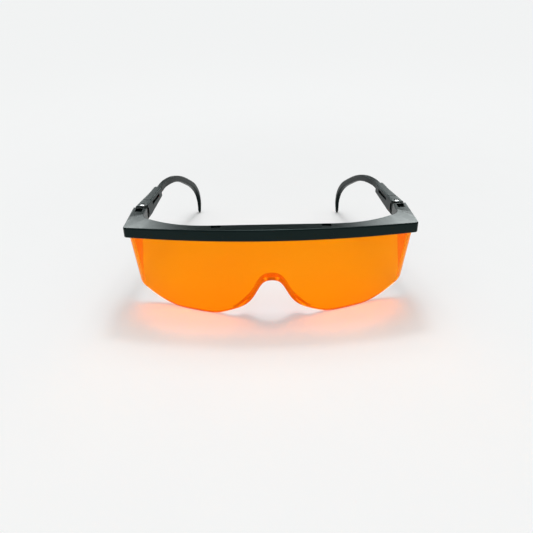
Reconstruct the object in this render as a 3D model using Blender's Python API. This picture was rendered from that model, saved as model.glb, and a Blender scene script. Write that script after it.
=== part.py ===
"""Wrap-around safety glasses with a one-piece orange lens and adjustable temples.

The lens faces -Y. Left and right are as seen from the front, so left is at -X.
The glasses stand on z = 0, on the two lower lobes of the lens and the two temple
tips. Each temple tilts on a cross pin in the wing, folds on an upright pin, and
slides in and out of its sleeve.
"""

from math import atan2, cos, pi, radians, sin, sqrt

import bmesh
import bpy
from mathutils import Vector

MM = 0.001

# Overall size, in millimetres. y counts backwards from the line through the two
# front corners of the brow, until the parent empty centres the object on it.
HALF_WIDTH = 77.3
TOP_Z = 51.5
BROW_ARCH = 1.8
FRONT_BOW = 9.9
MIDDLE_Y = 65.8

# Brow bar.
BROW_HEIGHT_MIDDLE = 6.5
BROW_HEIGHT_CORNER = 5.6
BROW_REAR_Y = 1.6
BROW_REAR_SWEEP = 12.0
BROW_REAR_FORWARD = 2.2
BROW_EASE = 0.5
SWEEP_START_X = 30.0
SWEEP_SPAN_X = 38.0
CORNER_RADIUS = 2.0
INNER_CORNER_X = 66.2
INNER_CORNER_Y = 11.4
INNER_CORNER_REACH = 5.0
WING_REAR_Y = 27.7
WING_WIDTH = 7.6
WING_HEIGHT = 8.5
WING_DROP_START_Y = 4.0
WING_DROP_SPAN_Y = 14.0
TAB_SLOT_X = 28.4
TAB_SLOT_WIDTH = 5.0
TAB_SLOT_DEPTH = 3.4

# Lens.
LENS_THICKNESS = 2.0
LENS_SETBACK = 1.3
LENS_TOP_Z = 46.6
LENS_CORNER_RADIUS = 4.5
LENS_REAR_Y = 25.0
LENS_SIDE_INSET = 2.1
LENS_LEAN = 5.8e-5
LENS_RISE = 12.6
SHIELD_SLOPE = 1.3
SHIELD_STEP_Y = 12.0
SHIELD_TOP_Z = 42.6
GROOVE_GAP = 0.35
NOSE_BELL_HEIGHT = 14.0
NOSE_BELL_WIDTH = 9.0
NOSE_FLARE_HEIGHT = 9.0
FOOT_START_X = 30.0
FOOT_END_X = 50.0
FLANGE_REACH = 21.0
FLANGE_DEPTH = 6.5
FLANGE_THICKNESS = 1.5

# Hinges.
PIN_X = 72.6
PIN_Y = 31.4
PIN_RADIUS = 0.9
PIN_HEAD_RADIUS = 1.5
EAR_RADIUS = 2.6
TILT_Y = 19.0
TILT_Z = 47.3
TILT_PIN_RADIUS = 0.9
POCKET_WIDTH = 4.0
POCKET_X = 73.4
ARM_HEIGHT = 3.2
BARREL_BOTTOM_Z = 45.6
BARREL_TOP_Z = 49.2
GAP = 0.35
BORE_CLEARANCE = 0.3
THROAT_CLEARANCE = 0.7
TALL = (40.0, 55.0)

# Temples.
TOE_IN = 7.0
SLEEVE_WIDTH = 4.9
SLEEVE_INSET = 0.45
SLEEVE_END = 29.0
SLEEVE_REAR_HEIGHT = 6.0
SLEEVE_EASE = 0.7
SLOT_START = 8.0
SLOT_END = 22.0
SLIDER_WIDTH = 3.1
SLIDER_HEIGHT = 3.6
SLIDER_TOP_DROP = 1.1
SLIDER_START = 16.0
SLIDER_TRAVEL_IN = 9.6
NOTCH_PITCH = 4.8
NOTCH_COUNT = 3
NOTCH_HALF_LENGTH = 0.7
NOTCH_DEPTH = 0.8
NOTCH_FLOOR_Z = 47.9
RIGHT_SHORTER = 4.8
TIP_WIDTH = 3.7
TIP_HEIGHT = 4.1
TIP_END_SHARE = 0.55
INWARD_LEAN = 0.078

# The hook's centre line behind the sleeve: distance behind the fold pin and height.
HOOK_LINE = ((SLEEVE_END, 48.6), (42.0, 48.6), (58.0, 46.0), (72.0, 41.2), (86.0, 34.0),
             (98.0, 26.6), (106.5, 18.0), (110.0, 9.5), (109.6, 2.2))

LEFT, RIGHT = -1, 1


def clear_scene():
    for obj in list(bpy.data.objects):
        bpy.data.objects.remove(obj, do_unlink=True)


def material(name, colour, roughness, metallic=0.0, transmission=0.0):
    made = bpy.data.materials.new(name)
    made.use_nodes = True
    shader = made.node_tree.nodes["Principled BSDF"]
    shader.inputs["Base Color"].default_value = (*colour, 1.0)
    shader.inputs["Roughness"].default_value = roughness
    shader.inputs["Metallic"].default_value = metallic
    shader.inputs["Transmission Weight"].default_value = transmission
    made.diffuse_color = (*colour, 1.0)
    return made


def black_nylon():
    return material("black_nylon", (0.006, 0.009, 0.010), 0.38)


def orange_polycarbonate():
    return material("orange_polycarbonate", (1.0, 0.26, 0.004), 0.05, transmission=0.6)


def bright_steel():
    return material("bright_steel", (0.62, 0.63, 0.64), 0.22, metallic=1.0)


def object_from(bm, name, finish, parent, origin=(0.0, 0.0, 0.0)):
    """Turns a bmesh in millimetres into an object whose origin is at origin."""
    bmesh.ops.translate(bm, verts=bm.verts, vec=-Vector(origin))
    bmesh.ops.scale(bm, verts=bm.verts, vec=(MM, MM, MM))
    bmesh.ops.recalc_face_normals(bm, faces=bm.faces)
    mesh = bpy.data.meshes.new(name)
    bm.to_mesh(mesh)
    bm.free()
    if finish is not None:
        mesh.materials.append(finish)
    obj = bpy.data.objects.new(name, mesh)
    bpy.context.scene.collection.objects.link(obj)
    place(obj, parent, origin)
    return obj


def place(obj, parent, origin):
    """Parents an object and keeps it at origin, given in the design frame."""
    obj.parent = parent
    base = Vector(parent["design_origin"]) if parent else Vector((0.0, 0.0, 0.0))
    obj.location = (Vector(origin) - base) * MM
    obj["design_origin"] = list(origin)


def empty(name, parent, origin):
    made = bpy.data.objects.new(name, None)
    bpy.context.scene.collection.objects.link(made)
    place(made, parent, origin)
    return made


def smooth(obj, angle=35.0):
    obj.data.shade_smooth()
    obj.data.set_sharp_from_angle(angle=radians(angle))


def boolean(obj, other, operation):
    """Adds an exact Boolean with a helper that is hidden from the result."""
    modifier = obj.modifiers.new(operation.lower(), "BOOLEAN")
    modifier.operation = operation
    modifier.solver = "EXACT"
    modifier.object = other
    other.hide_render = True
    other.display_type = "WIRE"


def cut(obj, *helpers):
    for helper in helpers:
        boolean(obj, helper, "DIFFERENCE")


def join(obj, *helpers):
    for helper in helpers:
        boolean(obj, helper, "UNION")


def ring_solid(rings):
    """A closed solid through rings of equally many points, with flat end caps."""
    bm = bmesh.new()
    rows = [[bm.verts.new(point) for point in ring] for ring in rings]
    count = len(rows[0])
    for first, second in zip(rows[:-1], rows[1:]):
        for i in range(count):
            j = (i + 1) % count
            bm.faces.new((first[i], first[j], second[j], second[i]))
    bm.faces.new(rows[0])
    bm.faces.new(rows[-1])
    bmesh.ops.recalc_face_normals(bm, faces=bm.faces)
    return bm


def prism(outline, low, high, axis="z"):
    """A straight prism: outline points are (x, y) for axis z, or (y, z) for axis x."""
    if axis == "z":
        return ring_solid([[(a, b, level) for a, b in outline] for level in (low, high)])
    return ring_solid([[(level, a, b) for a, b in outline] for level in (low, high)])


def box(low, high):
    outline = [(low[0], low[1]), (high[0], low[1]), (high[0], high[1]), (low[0], high[1])]
    return prism(outline, low[2], high[2])


def disc(centre, radius, low, high, axis="z", sides=24):
    turns = [2 * pi * i / sides for i in range(sides)]
    outline = [(centre[0] + radius * cos(t), centre[1] + radius * sin(t)) for t in turns]
    return prism(outline, low, high, axis)


def helper(bm, name, parent):
    return object_from(bm, name, None, parent)


# ---------------------------------------------------------------- front


def front_y(x):
    """The bowed front of the brow in plan."""
    return -FRONT_BOW * (1 - (x / HALF_WIDTH) ** 2)


def arch(x):
    """How much higher the brow is at x than at its corners."""
    return BROW_ARCH * (1 - (x / HALF_WIDTH) ** 2)


def rear_y(x):
    """The rear edge of the brow's top in plan, which sweeps back to the wings."""
    swept = max(0.0, (abs(x) - SWEEP_START_X) / SWEEP_SPAN_X)
    return BROW_REAR_Y + BROW_REAR_SWEEP * swept**2.4 - BROW_REAR_FORWARD * arch(x)


def corner_arc(centre, radius, start, stop, steps):
    turns = [radians(start + (stop - start) * i / steps) for i in range(steps + 1)]
    return [(centre[0] + radius * cos(t), centre[1] + radius * sin(t)) for t in turns]


def brow_half():
    """Pairs of outer and inner plan points, from the middle to the wing's rear end."""
    pairs = []
    for i in range(12):
        x = 6.0 * i
        pairs.append(((x, front_y(x)), (x * 0.985, rear_y(x * 0.985))))
    inner_x = HALF_WIDTH - WING_WIDTH
    bend = HALF_WIDTH - CORNER_RADIUS
    arc = corner_arc((bend, CORNER_RADIUS), CORNER_RADIUS, -75, 0, 4)
    for i, outer in enumerate(arc):
        share = (i + 1) / len(arc)
        x = INNER_CORNER_X + (inner_x - INNER_CORNER_X) * share
        pairs.append((outer, (x, INNER_CORNER_Y + INNER_CORNER_REACH * share)))
    for y in (20.0, 24.0, WING_REAR_Y):
        pairs.append(((HALF_WIDTH, y), (inner_x, y)))
    return pairs


def brow_bottom(x, y):
    """The height of the brow's underside: it deepens towards the hinge."""
    along = (abs(x) / HALF_WIDTH) ** 2
    height = BROW_HEIGHT_MIDDLE + (BROW_HEIGHT_CORNER - BROW_HEIGHT_MIDDLE) * along
    back = min(1.0, max(0.0, (y - WING_DROP_START_Y) / WING_DROP_SPAN_Y))
    return TOP_Z + arch(x) - height - (WING_HEIGHT - BROW_HEIGHT_CORNER) * back


def brow_section(outer, inner):
    """One upright section of the brow, with its edges eased."""
    (xo, yo), (xi, yi) = outer, inner
    bottom, top = brow_bottom(xo, yo), TOP_Z + arch(xo)
    across = Vector((xi - xo, yi - yo, 0.0))
    unit = across.normalized()

    def at(inwards, z):
        point = Vector((xo, yo, 0.0)) + unit * inwards
        return (point.x, point.y, z)

    width = across.length
    return [
        at(0.0, bottom + BROW_EASE),
        at(0.15, top - 0.2),
        at(0.45, top),
        at(width - BROW_EASE, top),
        at(width, top - BROW_EASE),
        at(width, bottom + BROW_EASE),
        at(width - BROW_EASE, bottom),
        at(BROW_EASE, bottom),
    ]


def mirrored(points):
    return [(-x, y, z) for x, y, z in points]


def brow_blank():
    half = [brow_section(outer, inner) for outer, inner in brow_half()]
    return ring_solid([mirrored(ring) for ring in reversed(half[1:])] + half)


def pocket_cutter(side, parent):
    """The hollow in a wing's end that the joint block tilts in, open to the rear."""
    x0, x1 = POCKET_X - POCKET_WIDTH / 2, POCKET_X + POCKET_WIDTH / 2
    low = (min(side * x0, side * x1), TILT_Y - 3.6, TOP_Z - WING_HEIGHT + 1.0)
    high = (max(side * x0, side * x1), WING_REAR_Y + 4.0, TOP_Z - 1.1)
    return helper(box(low, high), f"pocket_cutter_{side}", parent)


def window_cutter(side, parent):
    """The rectangular opening in the top of a wing, above the pocket."""
    x0, x1 = POCKET_X - 1.9, POCKET_X + 1.9
    low = (min(side * x0, side * x1), WING_REAR_Y - 5.9, TOP_Z - 2.0)
    high = (max(side * x0, side * x1), WING_REAR_Y - 0.9, TOP_Z + 2.0)
    return helper(box(low, high), f"window_cutter_{side}", parent)


def tilt_bore_cutter(side, parent):
    radius = TILT_PIN_RADIUS + BORE_CLEARANCE
    bore = disc((TILT_Y, TILT_Z), radius, 60.0, 76.2, axis="x", sides=16)
    if side == LEFT:
        bmesh.ops.scale(bore, verts=bore.verts, vec=(-1, 1, 1))
        bmesh.ops.reverse_faces(bore, faces=bore.faces)
    return helper(bore, f"tilt_bore_cutter_{side}", parent)


def tab_slot_cutter(side, parent):
    x = side * TAB_SLOT_X
    rear = rear_y(TAB_SLOT_X)
    groove = front_y(TAB_SLOT_X) + LENS_SETBACK + LENS_THICKNESS / 2
    rise = arch(TAB_SLOT_X)
    floor, shelf, roof = TOP_Z - 10.0, LENS_TOP_Z + rise + GAP, TOP_Z + rise + 2.0
    front, back = rear - TAB_SLOT_DEPTH, rear + 3.0
    outline = [(groove, floor), (back, floor), (back, roof), (front, roof)]
    outline += [(front, shelf), (groove, shelf)]
    half = TAB_SLOT_WIDTH / 2
    slot = prism(outline, x - half, x + half, axis="x")
    return helper(slot, f"tab_slot_cutter_{side}", parent)


def groove_cutter(parent):
    """The groove under the brow and wings that the lens's top edge sits in."""
    shell = lens_shell(LENS_TOP_Z - 12.0, GROOVE_GAP)
    return helper(shell, "groove_cutter", parent)


def build_brow(parent, nylon):
    brow = object_from(brow_blank(), "brow_bar", nylon, parent)
    cut(brow, groove_cutter(parent))
    for side in (LEFT, RIGHT):
        cut(brow, pocket_cutter(side, parent), window_cutter(side, parent))
        cut(brow, tilt_bore_cutter(side, parent), tab_slot_cutter(side, parent))
    smooth(brow)
    return brow


def lens_plan():
    """The lens's outer face in plan, from the middle to the side shield's rear edge."""
    points = []
    side_x = HALF_WIDTH - LENS_SIDE_INSET
    reach = side_x - LENS_CORNER_RADIUS
    steps = 32
    for i in range(steps + 1):
        x = reach * (i / steps) ** 1.15
        points.append((x, front_y(x) + LENS_SETBACK))
    x, y = points[-1]
    centre = (reach, y + LENS_CORNER_RADIUS)
    points += corner_arc(centre, LENS_CORNER_RADIUS, -75, 0, 6)
    last = points[-1][1]
    for i in range(1, 6):
        points.append((side_x, last + (LENS_REAR_Y - last) * i / 5))
    return points


def nose_bell(x):
    """The steep part of the nose arch, from 1 at the middle towards 0."""
    return 1.0 / (1.0 + (x / NOSE_BELL_WIDTH) ** 4)


def lens_bottom(x, y):
    """The lower edge of the lens: nose arch, flat lobe feet, rise to the side shields."""
    x = abs(x)
    side_x = HALF_WIDTH - LENS_SIDE_INSET
    if x < FOOT_START_X:
        end = nose_bell(FOOT_START_X)
        steep = (nose_bell(x) - end) / (1.0 - end)
        flare = 1.0 - (x / FOOT_START_X) ** 1.4
        return NOSE_BELL_HEIGHT * steep + NOSE_FLARE_HEIGHT * flare
    if x > side_x - 1e-6:
        wall_start = front_y(side_x - LENS_CORNER_RADIUS) + LENS_SETBACK + LENS_CORNER_RADIUS
        return LENS_RISE + SHIELD_SLOPE * (y - wall_start)
    return LENS_RISE * (max(0.0, x - FOOT_END_X) / (side_x - FOOT_END_X)) ** 2


def lens_top(x, y):
    """The upper edge sits in the brow's groove, and passes below the wings' hinge pockets."""
    return LENS_TOP_Z + arch(x) if y < SHIELD_STEP_Y else SHIELD_TOP_Z


def offset_in(points, distance):
    """Plan points moved along the curve's inward normal."""
    moved = []
    for i, (x, y) in enumerate(points):
        ax, ay = points[max(0, i - 1)]
        bx, by = points[min(len(points) - 1, i + 1)]
        length = sqrt((bx - ax) ** 2 + (by - ay) ** 2)
        tx, ty = (bx - ax) / length, (by - ay) / length
        if i == 0:
            tx, ty = 1.0, 0.0
        moved.append((x - ty * distance, y + tx * distance))
    return moved


def lean(x, z):
    """How far back the wall stands at z: its sides lean back towards the lower edge."""
    return LENS_LEAN * x * x * (LENS_TOP_Z - z)


def lens_shell(low=None, grown=0.0):
    """The curved wall. With low, its lower edge is level: that makes the groove."""
    plan = lens_plan()
    outer = offset_in(plan, -grown)
    inner = offset_in(plan, LENS_THICKNESS + grown)
    if grown:
        plan.append(plan[-1])
        outer.append((outer[-1][0], outer[-1][1] + grown))
        inner.append((inner[-1][0], inner[-1][1] + grown))
    half = []
    levels = 1 if low is not None else 4
    for (x, y), (xo, yo), (xi, yi) in zip(plan, outer, inner):
        bottom = low if low is not None else lens_bottom(x, y)
        high = lens_top(x, y) + grown
        heights = [bottom + (high - bottom) * i / levels for i in range(levels + 1)]
        ring = [(xo, yo + lean(x, z), z) for z in heights]
        ring += [(xi, yi + lean(x, z), z) for z in reversed(heights)]
        half.append(ring)
    return ring_solid([mirrored(ring) for ring in reversed(half[1:])] + half)


def nose_flange(parent):
    """The rim that turns back from the nose arch."""
    rings = []
    steps = 30
    for i in range(steps + 1):
        x = FLANGE_REACH * (2 * i / steps - 1)
        z = lens_bottom(x, 0.0)
        rise = lens_bottom(x + 0.05, 0.0) - lens_bottom(x - 0.05, 0.0)
        slope = atan2(rise, 0.1)
        up = Vector((-sin(slope), 0.0, cos(slope))) * FLANGE_THICKNESS
        fade = 0.3 + 0.7 * min(1.0, (FLANGE_REACH - abs(x)) / 9.0)
        y0 = front_y(x) + LENS_SETBACK + lean(x, z) + 0.4
        y1 = y0 + FLANGE_DEPTH * fade
        rings.append([
            (x, y0, z),
            (x, y1, z + 0.05),
            (x + up.x, y1, z + up.z),
            (x + up.x, y0, z + up.z),
        ])
    return helper(ring_solid(rings), "nose_flange_helper", parent)


def lens_tab(side, parent):
    """A moulded clip behind the lens that rises into a slot of the brow."""
    rear = rear_y(TAB_SLOT_X)
    root = front_y(TAB_SLOT_X) + LENS_SETBACK + LENS_THICKNESS / 2
    rise = arch(TAB_SLOT_X)
    foot = TOP_Z + rise - BROW_HEIGHT_MIDDLE + 0.3
    shelf = LENS_TOP_Z + rise - 0.1
    front, back, top = rear - TAB_SLOT_DEPTH + GAP, rear - 0.5, TOP_Z + rise - 2.2
    outline = [(root, foot), (back, foot), (back, top), (front, top)]
    outline += [(front, shelf), (root, shelf)]
    half = TAB_SLOT_WIDTH / 2 - GAP
    ends = sorted((side * TAB_SLOT_X - half, side * TAB_SLOT_X + half))
    word = "left" if side == LEFT else "right"
    return helper(prism(outline, *ends, axis="x"), f"lens_tab_{word}_helper", parent)


def build_lens(parent, polycarbonate):
    lens = object_from(lens_shell(), "lens", polycarbonate, parent)
    join(lens, nose_flange(parent), lens_tab(LEFT, parent), lens_tab(RIGHT, parent))
    smooth(lens)
    return lens


# ---------------------------------------------------------------- hinges and temples


def toe_frame(side):
    """Unit vectors along the temple, away from the middle, and the pin's plan point."""
    turn = radians(TOE_IN)
    along = Vector((-side * sin(turn), cos(turn), 0.0))
    outward = Vector((side * cos(turn), sin(turn), 0.0))
    return along, outward, Vector((side * PIN_X, PIN_Y, 0.0))


def temple_point(side, distance, out, z):
    """A point by its distance behind the fold pin and its offset from the sleeve's line."""
    along, outward, pin = toe_frame(side)
    point = pin + along * distance + outward * (out - SLEEVE_INSET)
    return (point.x, point.y, z)


def build_tilt_pin(side, parent, steel):
    pin = disc((TILT_Y, TILT_Z), TILT_PIN_RADIUS, 70.3, 76.0, axis="x", sides=16)
    if side == LEFT:
        bmesh.ops.scale(pin, verts=pin.verts, vec=(-1, 1, 1))
    name = "tilt_pin_left" if side == LEFT else "tilt_pin_right"
    obj = object_from(pin, name, steel, parent, (side * POCKET_X, TILT_Y, TILT_Z))
    smooth(obj)
    return obj


def build_joint_block(side, name, parent, nylon):
    """The arm in the wing's pocket, and the hinge barrel round the fold pin."""
    half = POCKET_WIDTH / 2 - GAP
    x0, x1 = sorted((side * (POCKET_X - half), side * (POCKET_X + half)))
    arm = box(
        (x0, TILT_Y - 2.6, TILT_Z - ARM_HEIGHT / 2),
        (x1, PIN_Y - 0.5, TILT_Z + ARM_HEIGHT / 2),
    )
    block = object_from(arm, name, nylon, parent, (side * POCKET_X, TILT_Y, TILT_Z))
    barrel = disc((side * PIN_X, PIN_Y), EAR_RADIUS, BARREL_BOTTOM_Z, BARREL_TOP_Z)
    pin_bore = disc((side * PIN_X, PIN_Y), PIN_RADIUS + BORE_CLEARANCE, *TALL, sides=16)
    radius = TILT_PIN_RADIUS + BORE_CLEARANCE
    tilt_bore = disc((TILT_Y, TILT_Z), radius, 68.0, 79.0, axis="x", sides=16)
    if side == LEFT:
        bmesh.ops.scale(tilt_bore, verts=tilt_bore.verts, vec=(-1, 1, 1))
    frame = parent.parent
    join(block, helper(barrel, f"{name}_barrel", frame))
    cut(block, helper(pin_bore, f"{name}_pin_bore", frame))
    cut(block, helper(tilt_bore, f"{name}_tilt_bore", frame))
    smooth(block)
    return block


def build_fold_pin(side, name, parent, steel):
    """A headed steel pin, held in the block and passing through the sleeve's ears."""
    sides = 20
    rings = []
    profile = (
        (PIN_RADIUS, TOP_Z - WING_HEIGHT + 0.3),
        (PIN_RADIUS, TOP_Z - 0.75),
        (PIN_HEAD_RADIUS, TOP_Z - 0.7),
        (PIN_HEAD_RADIUS, TOP_Z - 0.2),
        (PIN_HEAD_RADIUS - 0.35, TOP_Z + 0.0),
    )
    for radius, z in profile:
        turns = [2 * pi * i / sides for i in range(sides)]
        rings.append([
            (side * PIN_X + radius * cos(t), PIN_Y + radius * sin(t), z) for t in turns
        ])
    pin = object_from(ring_solid(rings), name, steel, parent, (side * PIN_X, PIN_Y, TILT_Z))
    smooth(pin)
    return pin


def sleeve_section(side, distance):
    """A section of the sleeve's outside, with chamfered edges."""
    share = max(0.0, (distance - 6.0) / (SLEEVE_END - 6.0))
    bottom = TOP_Z - WING_HEIGHT + (WING_HEIGHT - SLEEVE_REAR_HEIGHT) * share
    half, ease = SLEEVE_WIDTH / 2, SLEEVE_EASE
    corners = [
        (half, bottom + ease), (half, TOP_Z - ease), (half - ease, TOP_Z),
        (-half + ease, TOP_Z), (-half, TOP_Z - ease), (-half, bottom + ease),
        (-half + ease, bottom), (half - ease, bottom),
    ]
    return [temple_point(side, distance, out, z) for out, z in corners]


def slider_box(side, start, end, grow):
    """A straight box round the slider's line, grown on every side."""
    half = SLIDER_WIDTH / 2 + grow
    top = TOP_Z - SLIDER_TOP_DROP + grow
    bottom = TOP_Z - SLIDER_TOP_DROP - SLIDER_HEIGHT - grow
    corners = [(half, bottom), (half, top), (-half, top), (-half, bottom)]
    rings = [[temple_point(side, d, out, z) for out, z in corners] for d in (start, end)]
    return ring_solid(rings)


def build_sleeve(side, name, parent, nylon):
    rings = [sleeve_section(side, d) for d in (0.0, 3.2, 8.0, SLEEVE_END)]
    pin = (side * PIN_X, PIN_Y)
    sleeve = object_from(ring_solid(rings), name, nylon, parent, (*pin, TILT_Z))
    frame = parent.parent.parent
    bottom = TOP_Z - WING_HEIGHT
    ears = helper(disc(pin, EAR_RADIUS, bottom, TOP_Z), f"{name}_ears", frame)
    throat_radius = EAR_RADIUS + THROAT_CLEARANCE
    throat = disc(pin, throat_radius, BARREL_BOTTOM_Z - GAP, BARREL_TOP_Z + GAP)
    bore = disc(pin, PIN_RADIUS + BORE_CLEARANCE, *TALL, sides=16)
    seat_radius = PIN_HEAD_RADIUS + BORE_CLEARANCE
    head_seat = disc(pin, seat_radius, TOP_Z - 1.05, TOP_Z + 2.0, sides=16)
    tunnel_start = SLIDER_START - SLIDER_TRAVEL_IN - 0.5
    tunnel = slider_box(side, tunnel_start, SLEEVE_END + 3.0, BORE_CLEARANCE)
    low, high = TOP_Z - 3.6, TOP_Z - 1.7
    inner, middle = -SLEEVE_WIDTH, -SLIDER_WIDTH / 2 - 0.1
    corners = [(inner, low), (middle, low), (middle, high), (inner, high)]
    window = ring_solid(
        [[temple_point(side, d, out, z) for out, z in corners] for d in (SLOT_START, SLOT_END)]
    )
    join(sleeve, ears)
    cut(sleeve, helper(throat, f"{name}_throat", frame), helper(bore, f"{name}_bore", frame))
    cut(sleeve, helper(head_seat, f"{name}_head_seat", frame))
    cut(sleeve, helper(tunnel, f"{name}_tunnel", frame))
    cut(sleeve, helper(window, f"{name}_window", frame))
    smooth(sleeve)
    return sleeve


def spline(points, steps):
    """A Catmull-Rom curve through the points."""
    padded = [points[0], *points, points[-1]]
    curve = []
    for i in range(1, len(padded) - 2):
        p0, p1, p2, p3 = (Vector(padded[i + k]) for k in (-1, 0, 1, 2))
        for j in range(steps):
            t = j / steps
            point = 0.5 * (
                2 * p1 + (p2 - p0) * t + (2 * p0 - 5 * p1 + 4 * p2 - p3) * t * t
                + (3 * p1 - p0 - 3 * p2 + p3) * t**3
            )
            curve.append((point.x, point.y))
    curve.append(tuple(points[-1]))
    return curve


def inward_drift(distance):
    """How far the hook leans in from the sleeve's line."""
    beyond = max(0.0, distance - SLEEVE_END - SLIDER_TRAVEL_IN)
    return INWARD_LEAN * beyond * beyond / (beyond + 8.0)


def tip_section(side, centre, heading, width, height):
    """An eased rectangle across the hook's centre line."""
    distance, z = centre
    ease = 0.22 * min(width, height)
    half_w, half_h = width / 2, height / 2
    corners = [
        (half_w, -half_h + ease), (half_w, half_h - ease), (half_w - ease, half_h),
        (-half_w + ease, half_h), (-half_w, half_h - ease), (-half_w, -half_h + ease),
        (-half_w + ease, -half_h), (half_w - ease, -half_h),
    ]
    drift = inward_drift(distance)
    return [
        temple_point(side, distance - up * sin(heading), out - drift, z + up * cos(heading))
        for out, up in corners
    ]


def tip_rings(side):
    """Sections of the slider and the hook, from inside the sleeve to the rounded end."""
    middle_z = TOP_Z - SLIDER_TOP_DROP - SLIDER_HEIGHT / 2
    line = [(SLIDER_START, middle_z)]
    line += [(d, z) for d, z in spline(HOOK_LINE, 3)]
    rings = []
    total = len(line) - 1
    for i, (distance, z) in enumerate(line):
        before, after = line[max(0, i - 1)], line[min(total, i + 1)]
        heading = atan2(after[1] - before[1], after[0] - before[0])
        if i <= 1:
            heading = 0.0
        swell = min(1.0, max(0.0, (distance - SLEEVE_END - 12.0) / 12.0))
        width = SLIDER_WIDTH + (TIP_WIDTH - SLIDER_WIDTH) * swell
        height = SLIDER_HEIGHT + (TIP_HEIGHT - SLIDER_HEIGHT) * swell
        near_end = min(1.0, max(0.0, (z - 2.2) / 24.0))
        taper = TIP_END_SHARE + (1 - TIP_END_SHARE) * near_end**0.8
        rings.append(tip_section(side, (distance, z), heading, width * taper, height * taper))
    return rings


def end_cap_rings(side, centre, width, height):
    """Rounds the hook's end off downwards to the surface it stands on."""
    rings = []
    distance, z = centre
    for turn in (30, 55, 75, 88):
        shrink = cos(radians(turn))
        drop = z * sin(radians(turn)) / sin(radians(88))
        rings.append(
            tip_section(side, (distance, z - drop), -pi / 2, width * shrink, height * shrink)
        )
    return rings


def notch(side, middle):
    """A cutter for one detent notch in the slider's inner face."""
    floor = -SLIDER_WIDTH / 2 + NOTCH_DEPTH
    low, high = NOTCH_FLOOR_Z, TOP_Z
    corners = [(-SLIDER_WIDTH, low), (floor, low), (floor, high), (-SLIDER_WIDTH, high)]
    ends = (middle - NOTCH_HALF_LENGTH, middle + NOTCH_HALF_LENGTH)
    return ring_solid([[temple_point(side, d, out, z) for out, z in corners] for d in ends])


def build_tip(side, name, parent, nylon):
    rings = tip_rings(side)
    end = HOOK_LINE[-1]
    rings += end_cap_rings(side, end, TIP_WIDTH * TIP_END_SHARE, TIP_HEIGHT * TIP_END_SHARE)
    shift = 0.0 if side == LEFT else -RIGHT_SHORTER
    along = toe_frame(side)[0]
    solid = ring_solid(rings)
    bmesh.ops.translate(solid, verts=solid.verts, vec=along * shift)
    origin = Vector(temple_point(side, SLIDER_START + shift, 0.0, TOP_Z - SLIDER_TOP_DROP))
    tip = object_from(solid, name, nylon, parent, tuple(origin))
    frame = parent.parent.parent.parent
    for i in range(NOTCH_COUNT):
        middle = SLEEVE_END + 1.9 - NOTCH_PITCH * i + shift
        cut(tip, helper(notch(side, middle), f"{name}_notch_{i}", frame))
    smooth(tip, 50.0)
    return tip


def build_temple(side, parent, nylon, steel):
    word = "left" if side == LEFT else "right"
    tilt_axis = empty(f"tilt_axis_{word}", parent, (side * POCKET_X, TILT_Y, TILT_Z))
    fold_axis = empty(f"fold_axis_{word}", tilt_axis, (side * PIN_X, PIN_Y, TILT_Z))
    start = temple_point(side, SLIDER_START, 0.0, TOP_Z - SLIDER_TOP_DROP)
    slide_axis = empty(f"slide_axis_{word}", fold_axis, start)
    build_tilt_pin(side, parent, steel)
    build_joint_block(side, f"joint_block_{word}", tilt_axis, nylon)
    build_fold_pin(side, f"fold_pin_{word}", tilt_axis, steel)
    build_sleeve(side, f"temple_sleeve_{word}", fold_axis, nylon)
    build_tip(side, f"temple_tip_{word}", slide_axis, nylon)


def main():
    clear_scene()
    nylon, steel = black_nylon(), bright_steel()
    frame = bpy.data.objects.new("glasses_frame", None)
    bpy.context.scene.collection.objects.link(frame)
    frame["design_origin"] = [0.0, 0.0, 0.0]
    frame.location = (0.0, -MIDDLE_Y * MM, 0.0)
    build_brow(frame, nylon)
    build_lens(frame, orange_polycarbonate())
    for side in (LEFT, RIGHT):
        build_temple(side, frame, nylon, steel)


main()
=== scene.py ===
"""Looks of the wrap-around safety glasses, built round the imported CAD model.

Sizes are in millimetres in the design frame: x and z are the model's own, and y
counts backwards from the line through the brow's two front corners. Left and right
are as seen from the front, so left is at -X. A name in _X, _Y or _Z is a coordinate or
a span along that axis, _DROP is a depth below the top, and _SHARE is a part of 1.
"""

from math import atan2, cos, pi, radians, sin, sqrt, tan

import bmesh
import bpy
from mathutils import Matrix, Vector


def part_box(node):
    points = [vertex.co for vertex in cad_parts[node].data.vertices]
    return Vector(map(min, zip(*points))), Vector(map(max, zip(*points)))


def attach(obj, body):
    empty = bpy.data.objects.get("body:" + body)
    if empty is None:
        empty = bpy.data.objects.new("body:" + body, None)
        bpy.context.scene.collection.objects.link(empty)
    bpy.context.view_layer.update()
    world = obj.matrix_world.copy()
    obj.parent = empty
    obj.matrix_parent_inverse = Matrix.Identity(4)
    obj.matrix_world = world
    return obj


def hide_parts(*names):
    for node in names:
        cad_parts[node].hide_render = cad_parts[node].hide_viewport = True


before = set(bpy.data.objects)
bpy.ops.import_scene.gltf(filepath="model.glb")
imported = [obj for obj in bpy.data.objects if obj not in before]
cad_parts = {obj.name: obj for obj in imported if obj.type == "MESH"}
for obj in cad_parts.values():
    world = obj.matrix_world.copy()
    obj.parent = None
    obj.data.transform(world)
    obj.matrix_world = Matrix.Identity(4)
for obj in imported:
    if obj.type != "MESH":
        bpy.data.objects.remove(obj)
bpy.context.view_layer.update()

MM = 0.001
LEFT, RIGHT = -1, 1
WORD = {LEFT: "left", RIGHT: "right"}

# ---------------------------------------------------------------- dimensions

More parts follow.
